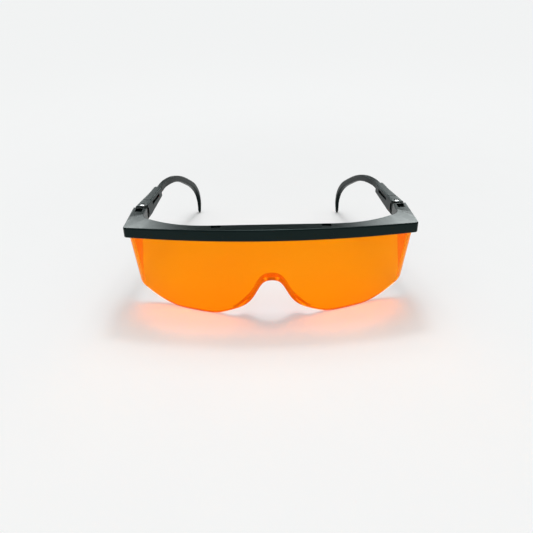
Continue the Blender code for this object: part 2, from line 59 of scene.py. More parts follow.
# Brow bar. Its box in the CAD model sets the width, the heights and the frame's place.
BROW_LOW, BROW_HIGH = (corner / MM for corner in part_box("brow_bar"))
BROW_ARCH = 1.8
FRONT_BOW = 9.9
HALF_WIDTH = BROW_HIGH.x
TOP_Z = BROW_HIGH.z - BROW_ARCH
MIDDLE_Y = -BROW_LOW.y - FRONT_BOW
WING_REAR_Y = BROW_HIGH.y + MIDDLE_Y
WING_WIDTH = 7.6
WING_HEIGHT = TOP_Z - BROW_LOW.z
BROW_HEIGHT_MIDDLE = 6.5
BROW_HEIGHT_CORNER = 5.6
BROW_REAR_Y = 1.6
BROW_REAR_SWEEP = 12.0
BROW_REAR_FORWARD = 2.2
SWEEP_START_X = 30.0
SWEEP_SPAN_X = 38.0
SWEEP_END_X = 64.0
SWEEP_POWER = 2.4
CURVE_END_X = 66.0
CORNER_RADIUS = 2.0
CORNER_START = -75.0
INNER_BEND_Y = 13.7
INNER_STRAIGHT_Y = 19.0
WING_START_Y = 12.0
WING_DROP_START_Y = 4.0
WING_DROP_SPAN_Y = 14.0
WING_TOP_TILT = 0.5
WING_TILT_START_Y = 9.0
WING_TILT_SPAN_Y = 3.0
FRONT_TOP_ROUND = 0.75
BROW_ROUND = 0.55
BROW_BEVEL = 0.14
BROW_STEPS = 44

# Joined and cut solids. A cutter goes past the surface that it cuts by PAST, and a solid
# that is joined on keeps its faces off its neighbour's by HAIR.
PAST = 3.0
HAIR = 0.02
SMALL_ROUND = 0.1

# Openings of the brow, and the lens's clips in them.
NOTCH_X = 28.4
NOTCH_WIDTH = 5.0
NOTCH_LENGTH = 3.4
NOTCH_DEPTH = 2.3
NOTCH_REAR_WALL = 0.45
CLIP_TOP_DROP = 3.2
CLIP_REAR_GAP = 0.5
CLIP_FOOT_RISE = 0.3
SOCKET_BOTTOM_DROP = 10.0
GROOVE_BOTTOM_DROP = 12.0
WINDOW_HALF_WIDTH = 1.9
WINDOW_LENGTH = 5.0
WINDOW_REAR_WALL = 0.9
WINDOW_DEPTH = 2.0
POCKET_X = 73.4
POCKET_WIDTH = 4.0
POCKET_AHEAD = 3.6
POCKET_ROOF = 1.1
POCKET_FLOOR = 1.0

# Lens.
LENS_SIDE_X = (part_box("lens")[1] / MM).x
LENS_THICKNESS = 2.0
LENS_SETBACK = 1.3
LENS_TOP_Z = 46.6
LENS_CORNER_RADIUS = 4.5
LENS_REAR_Y = 25.0
LENS_LEAN = 5.8e-5
LENS_RISE = 12.6
SHIELD_SLOPE = 1.3
SHIELD_STEP_START_Y = 9.0
SHIELD_STEP_SPAN_Y = 3.5
SHIELD_TOP_Z = 42.6
GROOVE_GAP = 0.35
NOSE_BELL_HEIGHT = 14.0
NOSE_BELL_WIDTH = 9.0
NOSE_FLARE_HEIGHT = 9.0
NOSE_FLARE_POWER = 1.4
FOOT_START_X = 30.0
FOOT_END_X = 50.0
FOOT_SOFTNESS = 1.3
FOOT_BLEND_X = 10.0
LENS_EDGE_ROUND = 0.5
LENS_STEPS = 70
LENS_LEVELS = 26
FLANGE_REACH = 21.0
FLANGE_DEPTH = 6.5
FLANGE_THICKNESS = 1.5
FLANGE_ROOT = 0.7
FLANGE_OFFSET = 0.4
FLANGE_END_SHARE = 0.3
FLANGE_FADE_X = 9.0
FLANGE_ROUND = 0.5
FLANGE_STEPS = 120
RIM_HEIGHT = 0.42
RIM_TOP_DROP = 8.0
RIM_MARGIN_X = 1.0
RIM_MARGIN_Y = 0.15
SMOOTH_ANGLE = 40.0

# Hinges. The pins' places come from their boxes, and TALL spans the whole hinge upright.
FOLD_LOW, FOLD_HIGH = (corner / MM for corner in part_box("fold_pin_right"))
TILT_LOW, TILT_HIGH = (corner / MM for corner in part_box("tilt_pin_right"))
PIN_X = (FOLD_LOW.x + FOLD_HIGH.x) / 2
PIN_Y = (FOLD_LOW.y + FOLD_HIGH.y) / 2 + MIDDLE_Y
PIN_RADIUS = 0.9
PIN_CHAMFER = 0.2
PIN_FOOT_RISE = 0.3
PIN_HEAD_RADIUS = (FOLD_HIGH.x - FOLD_LOW.x) / 2
PIN_HEAD_DEPTH = 0.8
PIN_DOME_DROP = 0.6
PIN_DOME_RISE = 0.58
PIN_DOME_POWER = 0.55
PIN_DIMPLE = ((0.42, 0.04), (0.3, 0.2), (0.1, 0.28))
TILT_Y = (TILT_LOW.y + TILT_HIGH.y) / 2 + MIDDLE_Y
TILT_Z = (TILT_LOW.z + TILT_HIGH.z) / 2
TILT_PIN_RADIUS = 0.9
WING_BORE = (60.0, 76.2)
ARM_BORE = (68.0, 79.0)
EAR_RADIUS = 2.6
ARM_HEIGHT = 3.2
ARM_NOSE_AHEAD = 1.0
ARM_REAR_OVERLAP = 0.5
BARREL_BOTTOM_Z = 45.6
BARREL_TOP_Z = 49.2
GAP = 0.35
BORE_CLEARANCE = 0.3
THROAT_CLEARANCE = 0.7
SEAT_CLEARANCE = 0.12
SEAT_DEPTH = 1.05
HINGE_BEVEL = 0.18
TALL = (40.0, 55.0)

# Temples.
TOE_IN = 7.0
SLEEVE_WIDTH = 4.9
SLEEVE_INSET = 0.45
SLEEVE_END = 29.0
SLEEVE_REAR_HEIGHT = 6.0
SLEEVE_TAPER_START = 6.0
SLEEVE_ROUND = 0.8
SLEEVE_BEVEL = 0.14
MOUTH_LENGTH = 0.6
MOUTH_INSET = 0.25
SHOULDER_START = -2.3
SHOULDER_END = 20.0
SHOULDER_BULGE = 1.55
SHOULDER_ROOT = 0.2
SHOULDER_CHAMFER = 0.3
SHOULDER_CHAMFER_LENGTH = 0.35
SLOT = (9.0, 23.0)
SLOT_TOP_DROP = 1.7
SLOT_BOTTOM_DROP = 3.6
SLOT_WALL = 0.1
SEAM = (7.3, 7.75)
SEAM_DEPTH = 0.22
SLIDER_WIDTH = 3.1
SLIDER_HEIGHT = 3.6
SLIDER_TOP_DROP = 1.1
SLIDER_Z = TOP_Z - SLIDER_TOP_DROP - SLIDER_HEIGHT / 2
SLIDER_START = 16.0
SLIDER_CLICKS_IN = 2
TUNNEL_EXTRA = 0.5
STRAIGHT_BEHIND = 1.0
DETENT_PITCH = 4.8
DETENT_COUNT = 3
DETENT_HALF_LENGTH = 0.7
DETENT_DEPTH = 0.8
DETENT_FLOOR_Z = 47.9
DETENT_BEHIND = 1.9
RIGHT_SHORTER = DETENT_PITCH
SLIDER_TRAVEL_IN = SLIDER_CLICKS_IN * DETENT_PITCH
TIP_WIDTH = 3.7
TIP_HEIGHT = 4.1
TIP_SWELL_START = 11.0
TIP_SWELL_SPAN = 13.0
TIP_SOFTNESS = (0.12, 0.28)
TIP_END_SHARE = 0.55
TIP_END_Z = 2.2
TIP_TAPER_Z = 24.0
TIP_TAPER_POWER = 0.8
TIP_BEVEL = 0.1
INWARD_LEAN = 0.078
INWARD_BLEND = 8.0

# The hook's centre line behind the sleeve: distance behind the fold pin and height.
HOOK_LINE = ((SLEEVE_END, SLIDER_Z), (42.0, SLIDER_Z), (58.0, 46.0), (72.0, 41.2), (86.0, 34.0),
             (98.0, 26.6), (106.5, 18.0), (110.0, 9.5), (109.6, TIP_END_Z))

# Camera, in the design frame, with its angles in degrees.
CAMERA_PLACE = (-4.7, -253.4, 167.5)
CAMERA_PITCH = 29.0
CAMERA_YAW = -0.46
CAMERA_ROLL = -0.87
CAMERA_LENS = 36.07

# Light. The key is a small and a large lamp in one place, each given as size and share.
# KEY_SPREAD allows for their size in the floor's evening out, and WORLD_LIGHT is what the
# dome gives the open floor.
KEY_PLACE = (24.0, 215.0, 485.0)
KEY_SHARES = (((90.0, 60.0), 0.35), ((300.0, 360.0), 0.65))
KEY_POWER = 1.66
KEY_SPREAD = 0.93
PANEL_LIGHT = 7.5
WORLD_LIGHT = 0.52
FLOOR_SHADE = 0.72
FLOOR_BRIGHTNESS = 0.896
FLOOR_SIZE = 9000.0
FLOOR_SINK = 0.02

# Looks. The lens's wall and its rim are the same plastic, which looks deeper edge on, so the rim
# and nose flange get darker, redder colours as painted shade.
NYLON_TINT = (0.0028, 0.0062, 0.0062)
NYLON_SHEEN = (0.62, 1.0, 0.97, 1.0)
LENS_IOR = 1.15
# The lens's glow is painted light: a faint orange emission that makes the plastic look brighter.
LENS_PAINTED_GLOW = 0.09
LENS_PAINTED_GLOW_COLOUR = (1.0, 0.2, 0.0, 1.0)
WALL_COLOURS = ((1.0, 0.375, 0.0012), (1.0, 0.335, 0.0008))
WALL_THROUGH = (1.0, 0.52, 0.42)
WALL_CLEARNESS = 0.78
# The rim's colours are painted shade: the same orange plastic made darker and redder, as it
# looks edge on.
RIM_PAINTED_SHADE_COLOURS = ((0.75, 0.06, 0.001), (0.62, 0.05, 0.001))
RIM_THROUGH = (0.3, 0.3, 0.3)
RIM_CLEARNESS = 0.7


# ---------------------------------------------------------------- mesh helpers


def in_frame(place):
    """A place in design millimetres, as a point of the model's frame."""
    return (Vector(place) - Vector((0.0, MIDDLE_Y, 0.0))) * MM


def obj_from(bm, name):
    """Turns a bmesh in design millimetres into an object in the model's frame."""
    bmesh.ops.translate(bm, verts=bm.verts, vec=(0.0, -MIDDLE_Y, 0.0))
    bmesh.ops.scale(bm, verts=bm.verts, vec=(MM, MM, MM))
    bmesh.ops.recalc_face_normals(bm, faces=bm.faces)
    mesh = bpy.data.meshes.new(name)
    bm.to_mesh(mesh)
    bm.free()
    obj = bpy.data.objects.new(name, mesh)
    bpy.context.scene.collection.objects.link(obj)
    return obj


def bake(obj):
    """Applies the modifiers, so that the mesh is final."""
    graph = bpy.context.evaluated_depsgraph_get()
    mesh = bpy.data.meshes.new_from_object(obj.evaluated_get(graph))
    old = obj.data
    obj.modifiers.clear()
    obj.data = mesh
    bpy.data.meshes.remove(old)


def combine(obj, operation, *tools):
    """Cuts or joins closed bmeshes with an object, exactly, and removes the tools."""
    helpers = [obj_from(tool, "tool") for tool in tools]
    for helper in helpers:
        modifier = obj.modifiers.new(operation, "BOOLEAN")
        modifier.operation = operation
        modifier.solver = "EXACT"
        modifier.object = helper
    bpy.context.view_layer.update()
    bake(obj)
    for helper in helpers:
        bpy.data.objects.remove(helper, do_unlink=True)


def smooth(obj, angle=SMOOTH_ANGLE):
    """Smooth shading, with the edges above the angle kept sharp."""
    obj.data.shade_smooth()
    obj.data.set_sharp_from_angle(angle=radians(angle))


def finish_edges(obj, width, angle=35.0, segments=3):
    """Rounds the sharp edges a little and evens out the shading."""
    bevel = obj.modifiers.new("edges", "BEVEL")
    bevel.width = width * MM
    bevel.segments = segments
    bevel.limit_method = "ANGLE"
    bevel.angle_limit = radians(angle)
    bevel.use_clamp_overlap = True
    bake(obj)
    smooth(obj, angle)
    normals = obj.modifiers.new("normals", "WEIGHTED_NORMAL")
    normals.keep_sharp = True


def ring_solid(rings):
    """A closed solid through rings of equally many points, with flat end caps."""
    bm = bmesh.new()
    rows = [[bm.verts.new(point) for point in ring] for ring in rings]
    count = len(rows[0])
    for first, second in zip(rows[:-1], rows[1:]):
        for i in range(count):
            j = (i + 1) % count
            bm.faces.new((first[i], first[j], second[j], second[i]))
    bm.faces.new(rows[0])
    bm.faces.new(rows[-1])
    bmesh.ops.recalc_face_normals(bm, faces=bm.faces)
    return bm


def prism(outline, low, high, axis="z"):
    """A straight prism: outline points are (x, y) for axis z, or (y, z) for axis x."""
    if axis == "z":
        return ring_solid([[(a, b, level) for a, b in outline] for level in (low, high)])
    return ring_solid([[(level, a, b) for a, b in outline] for level in (low, high)])


def rectangle(a0, b0, a1, b1):
    return [(a0, b0), (a1, b0), (a1, b1), (a0, b1)]


def box(low, high):
    return prism(rectangle(low[0], low[1], high[0], high[1]), low[2], high[2])


def circle(centre, radius, sides=48):
    turns = [2 * pi * i / sides for i in range(sides)]
    return [(centre[0] + radius * cos(t), centre[1] + radius * sin(t)) for t in turns]


def corner_arc(centre, radius, start, stop, steps):
    """Points along an arc, from one angle in degrees to another."""
    turns = [radians(start + (stop - start) * i / steps) for i in range(steps + 1)]
    return [(centre[0] + radius * cos(t), centre[1] + radius * sin(t)) for t in turns]


def disc(centre, radius, low, high, axis="z", sides=48):
    return prism(circle(centre, radius, sides), low, high, axis)


def filleted(corners, steps=5):
    """A closed outline through corners (a, b, radius), each rounded to its radius."""
    points = []
    for i, (a, b, radius) in enumerate(corners):
        here = Vector((a, b))
        before = (Vector(corners[i - 1][:2]) - here).normalized()
        after = (Vector(corners[(i + 1) % len(corners)][:2]) - here).normalized()
        half = before.angle(after) / 2
        centre = here + (before + after).normalized() * radius / sin(half)
        start = here + before * radius / tan(half) - centre
        stop = here + after * radius / tan(half) - centre
        first = atan2(start.y, start.x)
        sweep = (atan2(stop.y, stop.x) - first + pi) % (2 * pi) - pi
        for j in range(steps + 1):
            turn = first + sweep * j / steps
            points.append((centre.x + radius * cos(turn), centre.y + radius * sin(turn)))
    return points


def mirrored(points):
    return [(-x, y, z) for x, y, z in points]


def both_halves(half):
    """Rings from one side through the middle to the other, from the half at +X."""
    return [mirrored(ring) for ring in reversed(half[1:])] + half


def spread(low, high, count):
    """Evenly spaced values with both ends, count steps apart."""
    return [low + (high - low) * i / count for i in range(count + 1)]


def clamped(t):
    return min(1.0, max(0.0, t))


def eased(t):
    """A smooth step from 0 to 1."""
    t = clamped(t)
    return t * t * (3 - 2 * t)


# ---------------------------------------------------------------- brow bar


def front_y(x):
    """The bowed front of the brow in plan."""
    return -FRONT_BOW * (1 - (x / HALF_WIDTH) ** 2)


def arch(x):
    """How much higher the brow is at x than at its corners."""
    return BROW_ARCH * (1 - (x / HALF_WIDTH) ** 2)


def rear_y(x):
    """The rear edge of the brow's top in plan, which sweeps back to the wings."""
    swept = max(0.0, (abs(x) - SWEEP_START_X) / SWEEP_SPAN_X)
    return BROW_REAR_Y + BROW_REAR_SWEEP * swept**SWEEP_POWER - BROW_REAR_FORWARD * arch(x)


def brow_half():
    """Pairs of outer and inner plan points, from the middle to the wing's rear end."""
    inner_x = HALF_WIDTH - WING_WIDTH
    bend = HALF_WIDTH - CORNER_RADIUS
    pairs = []
    for share in spread(0.0, 1.0, BROW_STEPS):
        inner = share * SWEEP_END_X
        x = share * CURVE_END_X
        pairs.append(((x, front_y(x)), (inner, rear_y(inner))))
    turn = radians(CORNER_START)
    touch = bend + CORNER_RADIUS * cos(turn)
    centre = (bend, front_y(touch) - CORNER_RADIUS * sin(turn))
    outer = [(x, front_y(x)) for x in spread(CURVE_END_X, touch, 6)[1:-1]]
    outer += corner_arc(centre, CORNER_RADIUS, CORNER_START, 0, 12)
    outer += [(HALF_WIDTH, y) for y in spread(centre[1], WING_START_Y, 4)[1:]]
    start = Vector((SWEEP_END_X, rear_y(SWEEP_END_X)))
    knee = Vector((inner_x, INNER_BEND_Y))
    stop = Vector((inner_x, INNER_STRAIGHT_Y))
    for i, point in enumerate(outer):
        t = (i + 1) / len(outer)
        inner = start * (1 - t) ** 2 + knee * 2 * t * (1 - t) + stop * t * t
        pairs.append((point, tuple(inner)))
    for t in spread(0.0, 1.0, 6)[1:]:
        outer_y = WING_START_Y + (WING_REAR_Y - WING_START_Y) * t
        inner_y = INNER_STRAIGHT_Y + (WING_REAR_Y - INNER_STRAIGHT_Y) * t
        pairs.append(((HALF_WIDTH, outer_y), (inner_x, inner_y)))
    return pairs


def brow_bottom(x, y):
    """The height of the brow's underside: the bar deepens towards the hinge."""
    along = (abs(x) / HALF_WIDTH) ** 2
    height = BROW_HEIGHT_MIDDLE + (BROW_HEIGHT_CORNER - BROW_HEIGHT_MIDDLE) * along
    back = clamped((y - WING_DROP_START_Y) / WING_DROP_SPAN_Y)
    return TOP_Z + arch(x) - height - (WING_HEIGHT - BROW_HEIGHT_CORNER) * back


def brow_section(outer, inner):
    """One upright section of the brow, with rounded edges."""
    (xo, yo), (xi, yi) = outer, inner
    bottom, top = brow_bottom(xo, yo), TOP_Z + arch(xo)
    across = Vector((xi - xo, yi - yo, 0.0))
    unit, width = across.normalized(), across.length
    tilt = WING_TOP_TILT * eased((yo - WING_TILT_START_Y) / WING_TILT_SPAN_Y)
    outline = filleted([
        (0.0, bottom, BROW_ROUND),
        (0.0, top, FRONT_TOP_ROUND),
        (width, top - tilt, BROW_ROUND),
        (width, bottom, BROW_ROUND),
    ])
    points = []
    for inwards, z in outline:
        place = Vector((xo, yo, z)) + unit * inwards
        points.append(tuple(place))
    return points


def pocket_cutter(side):
    """The hollow in a wing's end that the joint block tilts in, open to the rear."""
    x0, x1 = sorted((side * (POCKET_X - POCKET_WIDTH / 2), side * (POCKET_X + POCKET_WIDTH / 2)))
    low = (x0, TILT_Y - POCKET_AHEAD, TOP_Z - WING_HEIGHT + POCKET_FLOOR)
    return box(low, (x1, WING_REAR_Y + PAST, TOP_Z - POCKET_ROOF))


def window_cutter(side):
    """The rectangular opening in the top of a wing, above the pocket."""
    inner, outer = POCKET_X - WINDOW_HALF_WIDTH, POCKET_X + WINDOW_HALF_WIDTH
    x0, x1 = sorted((side * inner, side * outer))
    rear = WING_REAR_Y - WINDOW_REAR_WALL
    return box((x0, rear - WINDOW_LENGTH, TOP_Z - WINDOW_DEPTH), (x1, rear, TOP_Z + PAST))


def cross_disc(side, radius, start, stop):
    """A disc round the tilt pin's line, between two distances from the middle."""
    low, high = sorted((side * start, side * stop))
    return disc((TILT_Y, TILT_Z), radius, low, high, axis="x", sides=32)


def notch_cutters(side):
    """The notch in the brow's rear edge, and the socket under it for the lens's clip."""
    x, top = side * NOTCH_X, TOP_Z + arch(NOTCH_X)
    rear, half = rear_y(NOTCH_X), NOTCH_WIDTH / 2
    groove = front_y(NOTCH_X) + LENS_SETBACK + LENS_THICKNESS / 2
    notch_low = (x - half, rear - NOTCH_LENGTH, top - NOTCH_DEPTH)
    notch = box(notch_low, (x + half, rear - NOTCH_REAR_WALL, top + PAST))
    socket_low = (x - half, groove, TOP_Z - SOCKET_BOTTOM_DROP)
    socket = box(socket_low, (x + half, rear + PAST, top - CLIP_TOP_DROP + GAP))
    return notch, socket


def build_brow():
    sections = [brow_section(outer, inner) for outer, inner in brow_half()]
    brow = obj_from(ring_solid(both_halves(sections)), "brow_shell")
    for side in (LEFT, RIGHT):
        for cutter in notch_cutters(side):
            combine(brow, "DIFFERENCE", cutter)
    combine(brow, "DIFFERENCE", lens_wall(LENS_TOP_Z - GROOVE_BOTTOM_DROP, GROOVE_GAP))
    for side in (LEFT, RIGHT):
        bore = cross_disc(side, TILT_PIN_RADIUS + BORE_CLEARANCE, *WING_BORE)
        combine(brow, "DIFFERENCE", pocket_cutter(side), window_cutter(side), bore)
    finish_edges(brow, BROW_BEVEL)
    return brow


# ---------------------------------------------------------------- lens


def lens_plan():
    """The lens's outer face in plan, from the middle to the side shield's rear edge."""
    points = []
    reach = LENS_SIDE_X - LENS_CORNER_RADIUS
    for x in spread(0.0, reach, LENS_STEPS):
        points.append((x, front_y(x) + LENS_SETBACK))
    wall_start = points[-1][1] + LENS_CORNER_RADIUS
    points += corner_arc((reach, wall_start), LENS_CORNER_RADIUS, CORNER_START, 0, 16)
    points += [(LENS_SIDE_X, y) for y in spread(wall_start, LENS_REAR_Y, 16)[1:]]
    return points


def nose_bell(x):
    """The steep part of the nose arch, from 1 at the middle towards 0."""
    return 1.0 / (1.0 + (x / NOSE_BELL_WIDTH) ** 4)


def lens_bottom(x, y):
    """The lower edge of the lens: nose arch, flat lobe feet, rise to the side shields."""
    x = abs(x)
    if x < FOOT_END_X:
        end = nose_bell(FOOT_START_X)
        steep = (nose_bell(x) - end) / (1.0 - end)
        flare = 1.0 - (x / FOOT_START_X) ** NOSE_FLARE_POWER
        arched = NOSE_BELL_HEIGHT * steep + NOSE_FLARE_HEIGHT * flare
        soft = FOOT_SOFTNESS * (1.0 - eased((x - FOOT_START_X) / FOOT_BLEND_X))
        return (arched + sqrt(arched * arched + soft * soft)) / 2
    if x > LENS_SIDE_X - 1e-4:
        reach = LENS_SIDE_X - LENS_CORNER_RADIUS
        wall_start = front_y(reach) + LENS_SETBACK + LENS_CORNER_RADIUS
        return LENS_RISE + SHIELD_SLOPE * (y - wall_start)
    return LENS_RISE * (max(0.0, x - FOOT_END_X) / (LENS_SIDE_X - FOOT_END_X)) ** 2


def lens_top(x, y):
    """The upper edge sits in the brow's groove, and passes below the wings' pockets."""
    drop = eased((y - SHIELD_STEP_START_Y) / SHIELD_STEP_SPAN_Y)
    return (LENS_TOP_Z + arch(x)) * (1 - drop) + SHIELD_TOP_Z * drop


def normals_in(points):
    """Inward plan normals of a curve that starts at the middle."""
    found = []
    for i in range(len(points)):
        ax, ay = points[max(0, i - 1)]
        bx, by = points[min(len(points) - 1, i + 1)]
        length = sqrt((bx - ax) ** 2 + (by - ay) ** 2)
        found.append((-(by - ay) / length, (bx - ax) / length))
    found[0] = (0.0, 1.0)
    return found


def lean(x, z):
    """How far back the wall stands at z: its sides lean back towards the lower edge."""
    return LENS_LEAN * x * x * (LENS_TOP_Z - z)


def lens_wall(low=None, grown=0.0):
    """The curved wall. With low and grown it's the level, thicker one that cuts the groove."""
    plan = lens_plan()
    normals = normals_in(plan)
    if grown:
        plan.append((plan[-1][0], plan[-1][1] + grown))
        normals.append(normals[-1])
    half = []
    levels = 4 if grown else LENS_LEVELS
    edge = 0.0 if grown else LENS_EDGE_ROUND
    for (x, y), (nx, ny) in zip(plan, normals):
        bottom = low if low is not None else lens_bottom(x, y)
        high = lens_top(x, y) + grown
        walls = spread(bottom + edge, high, levels)
        outline = [(-grown, z) for z in walls]
        outline += [(LENS_THICKNESS + grown, z) for z in reversed(walls)]
        if not grown:
            middle = LENS_THICKNESS / 2
            lip = corner_arc((middle, bottom + edge), middle, 0, -180, 8)[1:-1]
            outline += [(a, bottom + edge + (b - bottom - edge) * edge) for a, b in lip]
        half.append([(x + nx * d, y + ny * d + lean(x, z), z) for d, z in outline])
    return ring_solid(both_halves(half))


def nose_flange():
    """The lip that turns back from the nose arch, fading towards the lobes."""
    rings = []
    for x in spread(-FLANGE_REACH, FLANGE_REACH, FLANGE_STEPS):
        z = lens_bottom(x, 0.0)
        rise = lens_bottom(x + 0.05, 0.0) - lens_bottom(x - 0.05, 0.0)
        slope = atan2(rise, 0.1)
        up = Vector((-sin(slope), 0.0, cos(slope)))
        fade = eased((FLANGE_REACH - abs(x)) / FLANGE_FADE_X)
        depth = FLANGE_DEPTH * (FLANGE_END_SHARE + (1.0 - FLANGE_END_SHARE) * fade)
        wall = front_y(x) + LENS_SETBACK + lean(x, z)
        y0, y1 = wall + FLANGE_ROOT, wall + FLANGE_OFFSET + depth
        outline = filleted([
            (y0, HAIR, SMALL_ROUND),
            (y1, HAIR, FLANGE_ROUND),
            (y1, FLANGE_THICKNESS, FLANGE_ROUND),
            (y0, FLANGE_THICKNESS, SMALL_ROUND),
        ], 4)
        rings.append([(x + up.x * out, y, z + up.z * out) for y, out in outline])
    return ring_solid(rings)


def lens_clip(side):
    """A moulded clip behind the lens that rises into a socket of the brow."""
    top = TOP_Z + arch(NOTCH_X)
    root = front_y(NOTCH_X) + LENS_SETBACK + LENS_THICKNESS / 2
    back = rear_y(NOTCH_X) - CLIP_REAR_GAP
    foot, head = top - BROW_HEIGHT_MIDDLE + CLIP_FOOT_RISE, top - CLIP_TOP_DROP
    half = NOTCH_WIDTH / 2 - GAP
    low, high = side * NOTCH_X - half, side * NOTCH_X + half
    return prism(rectangle(root, foot, back, head), low, high, axis="x")


def mark_rim(lens):
    """Gives the edge of the wall and the nose flange the second material slot, the copy of the
    plastic with painted darker edge shade.
    """
    for face in lens.data.polygons:
        centre = face.center / MM
        x, y, z = centre.x, centre.y + MIDDLE_Y, centre.z
        wall = front_y(x) + LENS_SETBACK + lean(x, z)
        behind = y > wall + LENS_THICKNESS + RIM_MARGIN_Y
        flange = abs(x) < FLANGE_REACH + RIM_MARGIN_X and behind
        below = lens_bottom(x, y - lean(x, z)) + RIM_HEIGHT
        if (flange and z < LENS_TOP_Z - RIM_TOP_DROP) or z < below:
            face.material_index = 1


def build_lens():
    lens = obj_from(lens_wall(), "lens_shell")
    combine(lens, "UNION", nose_flange(), lens_clip(LEFT), lens_clip(RIGHT))
    mark_rim(lens)
    smooth(lens)
    return lens


# ---------------------------------------------------------------- hinges and temples


def temple_axes(side):
    """The temple's directions in plan: backwards along it, and outwards."""
    turn = radians(TOE_IN)
    along = Vector((-side * sin(turn), cos(turn), 0.0))
    outward = Vector((side * cos(turn), sin(turn), 0.0))
    return along, outward


def temple_point(side, distance, out, z):
    """A point by its distance behind the fold pin and its offset from the sleeve's line."""
    along, outward = temple_axes(side)
    point = Vector((side * PIN_X, PIN_Y, 0.0)) + along * distance
    point += outward * (out - SLEEVE_INSET)
    return (point.x, point.y, z)


def temple_box(side, ends, outline):
    """A straight solid along the temple's line, from (out, z) outline points."""
    return ring_solid([[temple_point(side, d, out, z) for out, z in outline] for d in ends])


def build_joint_block(side):
    """The arm in the wing's pocket, and the hinge barrel round the fold pin."""
    half = POCKET_WIDTH / 2 - GAP
    x0, x1 = sorted((side * (POCKET_X - half), side * (POCKET_X + half)))
    low_z, high_z = TILT_Z - ARM_HEIGHT / 2, TILT_Z + ARM_HEIGHT / 2
    nose = corner_arc((TILT_Y - ARM_NOSE_AHEAD, TILT_Z), ARM_HEIGHT / 2, 90, 270, 12)
    rear = PIN_Y - ARM_REAR_OVERLAP
    outline = nose + [(rear, low_z), (rear, high_z)]
    block = obj_from(prism(outline, x0, x1, axis="x"), f"joint_shell_{WORD[side]}")
    pin = (side * PIN_X, PIN_Y)
    combine(block, "UNION", disc(pin, EAR_RADIUS, BARREL_BOTTOM_Z, BARREL_TOP_Z))
    bore = disc(pin, PIN_RADIUS + BORE_CLEARANCE, *TALL)
    tilt_bore = cross_disc(side, TILT_PIN_RADIUS + BORE_CLEARANCE, *ARM_BORE)
    combine(block, "DIFFERENCE", bore, tilt_bore)
    finish_edges(block, HINGE_BEVEL)
    return block


def turned(profile, place, sides=48):
    """A solid of revolution about the upright line through place."""
    rings = []
    for radius, z in profile:
        rings.append([(x, y, z) for x, y in circle(place, radius, sides)])
    return ring_solid(rings)


def build_fold_pin(side):
    """A headed steel pin: a plain shank, and a domed head with a small centre dimple."""
    bottom = TOP_Z - WING_HEIGHT + PIN_FOOT_RISE
    under = TOP_Z - PIN_HEAD_DEPTH
    profile = [(PIN_RADIUS - PIN_CHAMFER, bottom), (PIN_RADIUS, bottom + PIN_CHAMFER)]
    profile += [(PIN_RADIUS, under - 0.05), (PIN_HEAD_RADIUS - 0.08, under)]
    for turn in (radians(angle) for angle in spread(0.0, 90.0, 8)[:-1]):
        radius = PIN_HEAD_RADIUS * cos(turn) ** PIN_DOME_POWER
        profile.append((radius, TOP_Z - PIN_DOME_DROP + PIN_DOME_RISE * sin(turn)))
    profile += [(radius, TOP_Z - drop) for radius, drop in PIN_DIMPLE]
    pin = obj_from(turned(profile, (side * PIN_X, PIN_Y)), f"fold_pin_turned_{WORD[side]}")
    smooth(pin)
    return pin


def sleeve_section(side, distance, inset=0.0):
    """A section of the sleeve's outside, with rounded edges."""
    bottom = sleeve_bottom(distance)
    half = SLEEVE_WIDTH / 2 - inset
    outline = filleted([
        (half, bottom, SLEEVE_ROUND),
        (half, TOP_Z, SLEEVE_ROUND),
        (-half, TOP_Z, SLEEVE_ROUND),
        (-half, bottom, SLEEVE_ROUND),
    ])
    return [temple_point(side, distance, out, z) for out, z in outline]


def sleeve_bottom(distance):
    """The height of the sleeve's underside, which rises towards the rear."""
    share = max(0.0, (distance - SLEEVE_TAPER_START) / (SLEEVE_END - SLEEVE_TAPER_START))
    return TOP_Z - WING_HEIGHT + (WING_HEIGHT - SLEEVE_REAR_HEIGHT) * share


def sleeve_shoulder(side):
    """The sleeve's outer side near the hinge, which carries on the line of the wing."""
    rings = []
    chamfer_end = SHOULDER_START + SHOULDER_CHAMFER_LENGTH
    for d in (SHOULDER_START, chamfer_end, *spread(0.0, SHOULDER_END, 10)):
        share = (d - SHOULDER_START) / (SHOULDER_END - SHOULDER_START)
        edge = SLEEVE_WIDTH / 2 + SHOULDER_BULGE * (1.0 - share)
        if d == SHOULDER_START:
            edge -= SHOULDER_CHAMFER
        low, high = sleeve_bottom(d) + HAIR, TOP_Z - HAIR / 2
        outline = filleted([
            (SHOULDER_ROOT, low, SMALL_ROUND),
            (edge, low, SLEEVE_ROUND),
            (edge, high, SLEEVE_ROUND),
            (SHOULDER_ROOT, high, SMALL_ROUND),
        ])
        rings.append([temple_point(side, d, out, z) for out, z in outline])
    return ring_solid(rings)


def tunnel_outline():
    """The section of the sleeve's tunnel: the slider's, with its clearance all round."""
    half = SLIDER_WIDTH / 2 + BORE_CLEARANCE
    reach = SLIDER_HEIGHT / 2 + BORE_CLEARANCE
    return rectangle(-half, SLIDER_Z - reach, half, SLIDER_Z + reach)


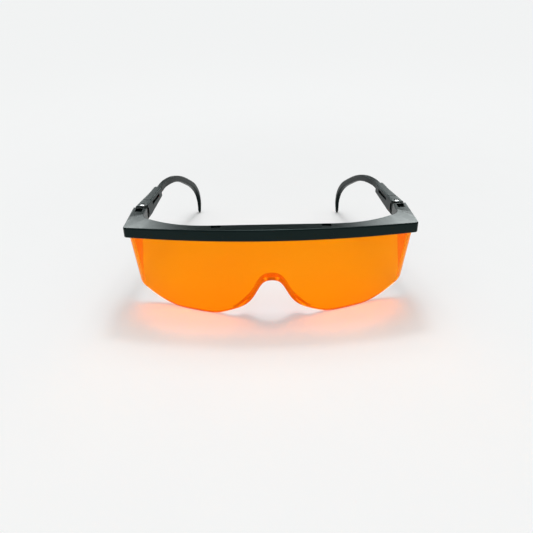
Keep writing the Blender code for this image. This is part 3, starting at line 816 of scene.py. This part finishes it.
def build_sleeve(side):
    """The box sleeve with its ears, tunnel, inner window and the line across its top."""
    stations = spread(0.0, SLEEVE_END - MOUTH_LENGTH, 20)
    rings = [sleeve_section(side, d) for d in stations]
    rings += [sleeve_section(side, SLEEVE_END, MOUTH_INSET)]
    sleeve = obj_from(ring_solid(rings), f"sleeve_shell_{WORD[side]}")
    pin = (side * PIN_X, PIN_Y)
    ears = disc(pin, EAR_RADIUS, TOP_Z - WING_HEIGHT, TOP_Z)
    combine(sleeve, "UNION", ears, sleeve_shoulder(side))
    throat = disc(pin, EAR_RADIUS + THROAT_CLEARANCE, BARREL_BOTTOM_Z - GAP, BARREL_TOP_Z + GAP)
    bore = disc(pin, PIN_RADIUS + BORE_CLEARANCE, *TALL)
    seat = disc(pin, PIN_HEAD_RADIUS + SEAT_CLEARANCE, TOP_Z - SEAT_DEPTH, TOP_Z + PAST)
    tunnel_start = SLIDER_START - SLIDER_TRAVEL_IN - TUNNEL_EXTRA
    tunnel = temple_box(side, (tunnel_start, SLEEVE_END + PAST), tunnel_outline())
    inside = -SLIDER_WIDTH / 2 - SLOT_WALL
    slot = rectangle(-SLEEVE_WIDTH, TOP_Z - SLOT_BOTTOM_DROP, inside, TOP_Z - SLOT_TOP_DROP)
    seam = rectangle(-SLEEVE_WIDTH, TOP_Z - SEAM_DEPTH, SLEEVE_WIDTH, TOP_Z + PAST)
    combine(sleeve, "DIFFERENCE", throat, bore, seat, tunnel)
    combine(sleeve, "DIFFERENCE", temple_box(side, SLOT, slot))
    combine(sleeve, "DIFFERENCE", temple_box(side, SEAM, seam))
    finish_edges(sleeve, SLEEVE_BEVEL)
    return sleeve


def spline(points, steps):
    """A Catmull-Rom curve through the points."""
    padded = [points[0], *points, points[-1]]
    curve = []
    for i in range(1, len(padded) - 2):
        p0, p1, p2, p3 = (Vector(padded[i + k]) for k in (-1, 0, 1, 2))
        for j in range(steps):
            t = j / steps
            point = 0.5 * (
                2 * p1 + (p2 - p0) * t + (2 * p0 - 5 * p1 + 4 * p2 - p3) * t * t
                + (3 * p1 - p0 - 3 * p2 + p3) * t**3
            )
            curve.append((point.x, point.y))
    curve.append(tuple(points[-1]))
    return curve


def inward_drift(distance):
    """How far the hook leans in from the sleeve's line."""
    beyond = max(0.0, distance - SLEEVE_END - SLIDER_TRAVEL_IN)
    return INWARD_LEAN * beyond * beyond / (beyond + INWARD_BLEND)


def tip_section(side, centre, heading, width, height, softness):
    """A rounded rectangle across the hook's centre line."""
    distance, z = centre
    radius = softness * min(width, height)
    half_w, half_h = width / 2, height / 2
    outline = filleted([
        (half_w, -half_h, radius),
        (half_w, half_h, radius),
        (-half_w, half_h, radius),
        (-half_w, -half_h, radius),
    ])
    drift = inward_drift(distance)
    return [
        temple_point(side, distance - up * sin(heading), out - drift, z + up * cos(heading))
        for out, up in outline
    ]


def tip_rings(side):
    """Sections of the slider and the hook, from inside the sleeve to the rounded end."""
    line = [(d, SLIDER_Z) for d in spread(SLIDER_START, SLEEVE_END, 4)[:-1]]
    line += spline(HOOK_LINE, 9)
    rings = []
    for i, centre in enumerate(line):
        before, after = line[max(0, i - 1)], line[min(len(line) - 1, i + 1)]
        heading = 0.0
        if centre[0] > SLEEVE_END + STRAIGHT_BEHIND:
            heading = atan2(after[1] - before[1], after[0] - before[0])
        swell = eased((centre[0] - SLEEVE_END - TIP_SWELL_START) / TIP_SWELL_SPAN)
        width = SLIDER_WIDTH + (TIP_WIDTH - SLIDER_WIDTH) * swell
        height = SLIDER_HEIGHT + (TIP_HEIGHT - SLIDER_HEIGHT) * swell
        above_end = clamped((centre[1] - TIP_END_Z) / TIP_TAPER_Z)
        taper = TIP_END_SHARE + (1 - TIP_END_SHARE) * above_end**TIP_TAPER_POWER
        softness = TIP_SOFTNESS[0] + (TIP_SOFTNESS[1] - TIP_SOFTNESS[0]) * swell
        size = (width * taper, height * taper)
        rings.append(tip_section(side, centre, heading, *size, softness))
    return rings


def end_cap_rings(side):
    """Rounds the hook's end off downwards to the surface it stands on."""
    distance, z = HOOK_LINE[-1]
    rings = []
    turns = [radians(turn) for turn in spread(10.0, 88.0, 9)]
    for turn in turns:
        shrink = TIP_END_SHARE * cos(turn)
        drop = z * sin(turn) / sin(turns[-1])
        size = (TIP_WIDTH * shrink, TIP_HEIGHT * shrink)
        rings.append(tip_section(side, (distance, z - drop), -pi / 2, *size, TIP_SOFTNESS[1]))
    return rings


def build_tip(side):
    """The sliding hooked end, with detent notches on its inner side."""
    shift = 0.0 if side == LEFT else -RIGHT_SHORTER
    solid = ring_solid(tip_rings(side) + end_cap_rings(side))
    along, _ = temple_axes(side)
    bmesh.ops.translate(solid, verts=solid.verts, vec=along * shift)
    tip = obj_from(solid, f"tip_shell_{WORD[side]}")
    floor = -SLIDER_WIDTH / 2 + DETENT_DEPTH
    outline = rectangle(-SLIDER_WIDTH, DETENT_FLOOR_Z, floor, TOP_Z)
    cutters = []
    for i in range(DETENT_COUNT):
        middle = SLEEVE_END + DETENT_BEHIND - DETENT_PITCH * i + shift
        ends = (middle - DETENT_HALF_LENGTH, middle + DETENT_HALF_LENGTH)
        cutters.append(temple_box(side, ends, outline))
    combine(tip, "DIFFERENCE", *cutters)
    finish_edges(tip, TIP_BEVEL, 50.0, 2)
    return tip


# ---------------------------------------------------------------- materials


class Nodes:
    """Short calls for building a node tree."""

    def __init__(self, tree):
        self.tree = tree

    def add(self, kind, **settings):
        node = self.tree.nodes.new(kind)
        for key, value in settings.items():
            if key in node.inputs:
                node.inputs[key].default_value = value
            else:
                setattr(node, key, value)
        return node

    def link(self, source, target):
        self.tree.links.new(source, target)

    def math(self, operation, *values):
        """A Math node, each of its inputs a number or another node's output."""
        node = self.add("ShaderNodeMath", operation=operation)
        for socket, value in zip(node.inputs, values):
            if isinstance(value, float):
                socket.default_value = value
            else:
                self.link(value, socket)
        return node.outputs["Value"]

    def ramp(self, factor, stops):
        """A colour ramp through (position, value) stops, each value a grey or a colour."""
        node = self.add("ShaderNodeValToRGB")
        elements = node.color_ramp.elements
        for _ in stops[2:]:
            elements.new(0.5)
        for element, (position, value) in zip(elements, stops):
            element.position = position
            element.color = (*value, 1.0) if isinstance(value, tuple) else (value,) * 3 + (1.0,)
        self.link(factor, node.inputs["Fac"])
        return node.outputs["Color"]


class Surface(Nodes):
    """A material, with its nodes round one Principled shader."""

    def __init__(self, name):
        self.material = bpy.data.materials.new(name)
        self.material.use_nodes = True
        super().__init__(self.material.node_tree)
        self.shader = self.tree.nodes["Principled BSDF"]
        self.output = self.tree.nodes["Material Output"]
        self.place = self.add("ShaderNodeTexCoord").outputs["Object"]

    def scaled(self, scale):
        mapping = self.add("ShaderNodeMapping")
        mapping.inputs["Scale"].default_value = scale
        self.link(self.place, mapping.inputs["Vector"])
        return mapping.outputs["Vector"]

    def noise(self, scale, detail, stretch=None):
        node = self.add("ShaderNodeTexNoise", Scale=scale, Detail=detail)
        self.link(self.scaled(stretch) if stretch else self.place, node.inputs["Vector"])
        return node.outputs["Fac"]

    def bump(self, height, strength, distance):
        node = self.add("ShaderNodeBump", Strength=strength, Distance=distance)
        self.link(height, node.inputs["Height"])
        self.link(node.outputs["Normal"], self.shader.inputs["Normal"])

    def set(self, **values):
        for key, value in values.items():
            self.shader.inputs[key.replace("_", " ")].default_value = value


def nylon(name, roughness, shine=0.18):
    """Moulded black nylon: faint cloudiness, fine grain and a semi-gloss skin."""
    made = Surface(name)
    cloud = made.noise(90.0, 3.0)
    dark = tuple(0.88 * c for c in NYLON_TINT)
    light = tuple(1.14 * c for c in NYLON_TINT)
    made.link(made.ramp(cloud, ((0.35, dark), (0.7, light))), made.shader.inputs["Base Color"])
    wear = made.noise(420.0, 2.0)
    gloss = made.ramp(wear, ((0.3, roughness - 0.02), (0.75, roughness + 0.03)))
    made.link(gloss, made.shader.inputs["Roughness"])
    made.bump(made.noise(2600.0, 2.0), 0.06, 0.00003)
    made.set(Specular_IOR_Level=shine, Specular_Tint=NYLON_SHEEN)
    return made.material


def polycarbonate(name, colours, through, clearness):
    """Clear orange polycarbonate with a faint painted glow that brightens it. Lamps colour the
    floor through it.
    """
    made = Surface(name)
    light, dark = colours
    flow = made.noise(14.0, 2.0, (1.0, 1.0, 2.2))
    made.link(made.ramp(flow, ((0.3, dark), (0.7, light))), made.shader.inputs["Base Color"])
    smear = made.noise(60.0, 3.0)
    made.link(made.ramp(smear, ((0.3, 0.015), (0.75, 0.05))), made.shader.inputs["Roughness"])
    made.set(Transmission_Weight=clearness, IOR=LENS_IOR, Specular_IOR_Level=0.5)
    # Painted glow: the lens emits a little orange light so that it looks brighter.
    made.set(Emission_Color=LENS_PAINTED_GLOW_COLOUR, Emission_Strength=LENS_PAINTED_GLOW)
    clear = made.add("ShaderNodeBsdfTransparent", Color=(*through, 1.0))
    rays = made.add("ShaderNodeLightPath")
    mix = made.add("ShaderNodeMixShader")
    made.link(rays.outputs["Is Shadow Ray"], mix.inputs["Fac"])
    made.link(made.shader.outputs["BSDF"], mix.inputs[1])
    made.link(clear.outputs["BSDF"], mix.inputs[2])
    made.link(mix.outputs["Shader"], made.output.inputs["Surface"])
    return made.material


def steel():
    """Bright steel with a fine, slightly uneven grain."""
    made = Surface("bright_steel")
    tone = made.noise(900.0, 3.0)
    shades = ((0.3, (0.52, 0.53, 0.54)), (0.7, (0.74, 0.75, 0.76)))
    made.link(made.ramp(tone, shades), made.shader.inputs["Base Color"])
    made.link(made.ramp(tone, ((0.3, 0.16), (0.7, 0.3))), made.shader.inputs["Roughness"])
    made.bump(made.noise(5200.0, 1.0), 0.1, 0.00002)
    made.set(Metallic=1.0)
    return made.material


def paper():
    """The plain pale floor, evened out so that it's equally bright everywhere in the open."""
    made = Surface("studio_paper")
    grain = made.noise(30.0, 2.0)
    shades = ((0.3, FLOOR_SHADE * 0.997), (0.7, FLOOR_SHADE * 1.003))
    made.link(made.ramp(grain, shades), made.shader.inputs["Base Color"])
    made.set(Roughness=0.9, Specular_IOR_Level=0.0, Emission_Color=(1.0, 1.0, 1.0, 1.0))
    lamp = in_frame(KEY_PLACE)
    far = made.add("ShaderNodeVectorMath", operation="DISTANCE")
    far.inputs[1].default_value = lamp
    made.link(made.place, far.inputs[0])
    falloff = made.math("POWER", far.outputs["Value"], -4.0)
    key = KEY_SPREAD * KEY_POWER / pi**2 * lamp.z**2 * FLOOR_SHADE
    rest = FLOOR_BRIGHTNESS - FLOOR_SHADE * WORLD_LIGHT
    glow = made.math("MULTIPLY_ADD", falloff, -key, rest)
    made.link(glow, made.shader.inputs["Emission Strength"])
    return made.material


def give(obj, material, body, node, extra=None):
    """Gives a piece its material, a second one if given, and its body, and hides the CAD node it
    stands for.
    """
    obj.data.materials.append(material)
    if extra:
        obj.data.materials.append(extra)
    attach(obj, body)
    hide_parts(node)


# ---------------------------------------------------------------- stage, camera, light


def build_stage():
    bm = bmesh.new()
    bmesh.ops.create_grid(bm, x_segments=8, y_segments=8, size=FLOOR_SIZE)
    floor = obj_from(bm, "studio_floor")
    floor.location.z = -FLOOR_SINK * MM
    floor.data.materials.append(paper())


def build_camera():
    yaw, pitch, roll = radians(CAMERA_YAW), radians(CAMERA_PITCH), radians(CAMERA_ROLL)
    forward = Vector((-sin(yaw) * cos(pitch), cos(yaw) * cos(pitch), -sin(pitch)))
    level_right = Vector((cos(yaw), sin(yaw), 0.0))
    level_up = level_right.cross(forward)
    right = level_right * cos(roll) + level_up * sin(roll)
    up = level_up * cos(roll) - level_right * sin(roll)
    data = bpy.data.cameras.new("camera")
    data.sensor_width = 36.0
    data.lens = CAMERA_LENS
    data.clip_start = 0.01
    data.clip_end = 50.0
    camera = bpy.data.objects.new("camera", data)
    turn = Matrix((right, up, -forward)).transposed()
    camera.matrix_world = Matrix.Translation(in_frame(CAMERA_PLACE)) @ turn.to_4x4()
    bpy.context.scene.collection.objects.link(camera)
    bpy.context.scene.camera = camera


def area_light(name, place, size, power):
    """A rectangular lamp that points straight down."""
    data = bpy.data.lights.new(name, "AREA")
    data.shape = "RECTANGLE"
    data.size, data.size_y = size[0] * MM, size[1] * MM
    data.energy = power
    lamp = bpy.data.objects.new(name, data)
    lamp.location = in_frame(place)
    bpy.context.scene.collection.objects.link(lamp)


def build_sky():
    """A soft dome, bright overhead and dark low down, with a panel on each rear side.

    The panels show only in reflections, and the camera sees the sky as bright as the floor.
    """
    world = bpy.data.worlds.new("studio")
    world.use_nodes = True
    sky = Nodes(world.node_tree)
    split = sky.add("ShaderNodeSeparateXYZ")
    sky.link(sky.add("ShaderNodeTexCoord").outputs["Generated"], split.inputs["Vector"])
    rays = sky.add("ShaderNodeLightPath")
    across = sky.math("ABSOLUTE", split.outputs["X"])
    aside = sky.math("MULTIPLY", sky.math("DIVIDE", across, split.outputs["Y"]), 0.5)
    height = split.outputs["Z"]
    sides = sky.ramp(aside, ((0.1, 0.0), (0.165, 1.0), (0.35, 1.0), (0.5, 0.0)))
    band = sky.ramp(height, ((0.2, 0.0), (0.31, 1.0), (0.46, 1.0), (0.58, 0.0)))
    dome = sky.ramp(height, ((0.0, 0.22), (0.42, 0.06), (0.75, 0.7), (1.0, 0.85)))
    panels = sky.math("MULTIPLY", sky.math("MULTIPLY", sides, band), PANEL_LIGHT)
    panels = sky.math("MULTIPLY", panels, rays.outputs["Is Glossy Ray"])
    seen = sky.math("MULTIPLY", rays.outputs["Is Camera Ray"], FLOOR_BRIGHTNESS)
    strength = sky.math("MAXIMUM", sky.math("ADD", dome, panels), seen)
    background = sky.tree.nodes["Background"]
    sky.link(strength, background.inputs["Strength"])
    background.inputs["Color"].default_value = (0.97, 1.0, 1.0, 1.0)
    bpy.context.scene.world = world


def build_light():
    bpy.context.scene.view_settings.view_transform = "Standard"
    build_sky()
    for number, (size, share) in enumerate(KEY_SHARES):
        area_light(f"key_{number}", KEY_PLACE, size, share * KEY_POWER)


# ---------------------------------------------------------------- put together


def main():
    brow_black = nylon("brow_black", 0.24)
    temple_black = nylon("temple_black", 0.36)
    tip_black = nylon("tip_black", 0.3, 0.08)
    hinge_black = nylon("hinge_black", 0.4)
    pin_metal = steel()
    wall = polycarbonate("orange_clear", WALL_COLOURS, WALL_THROUGH, WALL_CLEARNESS)
    rim = polycarbonate("orange_rim_painted_shade", RIM_PAINTED_SHADE_COLOURS, RIM_THROUGH, RIM_CLEARNESS)
    give(build_brow(), brow_black, "front", "brow_bar")
    give(build_lens(), wall, "front", "lens", extra=rim)
    for side in (LEFT, RIGHT):
        word = WORD[side]
        carrier, temple, tip = f"carrier_{word}", f"temple_{word}", f"tip_{word}"
        give(build_joint_block(side), hinge_black, carrier, f"joint_block_{word}")
        give(build_fold_pin(side), pin_metal, carrier, f"fold_pin_{word}")
        give(build_sleeve(side), temple_black, temple, f"temple_sleeve_{word}")
        give(build_tip(side), tip_black, tip, f"temple_tip_{word}")
        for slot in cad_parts[f"tilt_pin_{word}"].material_slots:
            slot.material = pin_metal
    build_stage()
    build_camera()
    build_light()


main()
